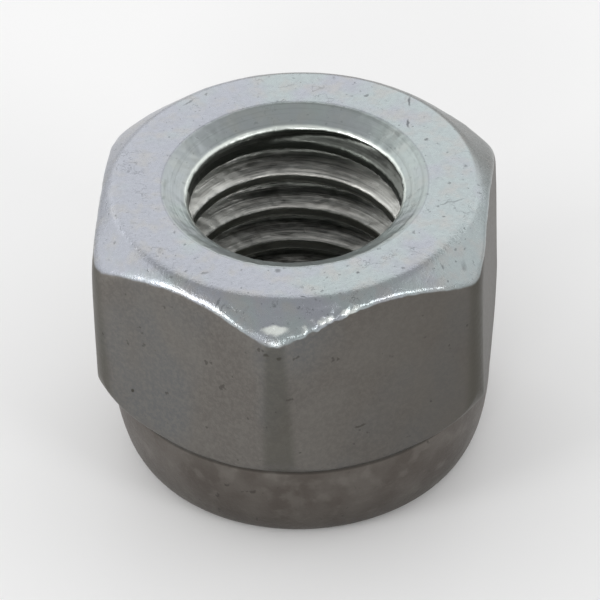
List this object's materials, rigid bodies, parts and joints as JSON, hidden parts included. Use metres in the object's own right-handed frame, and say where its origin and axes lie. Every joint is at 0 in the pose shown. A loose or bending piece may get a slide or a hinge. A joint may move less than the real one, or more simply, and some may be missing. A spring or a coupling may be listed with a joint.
{
  "type": "hex lock nut",
  "caption": "Zinc-plated steel hex lock nut with a crimped collar that holds a nylon locking ring, threaded for a coarse inch bolt.",
  "frame": {"origin": "on the thread axis, in the plane of the collar's rim, on which the nut stands", "axes": "+Z along the thread axis, from the collar to the bearing face; +Y to a corner of the hexagon; +X square to a flat"},
  "size_m": [0.0142, 0.0162, 0.0115],
  "materials": {
    "zinc_plated_steel": "satin zinc plating with a thin clear passivation, slightly stained",
    "nylon": "moulded natural nylon"
  },
  "bodies": {
    "root": {"nut_body": "zinc_plated_steel", "locking_ring": "nylon"}
  },
  "joints": []
}
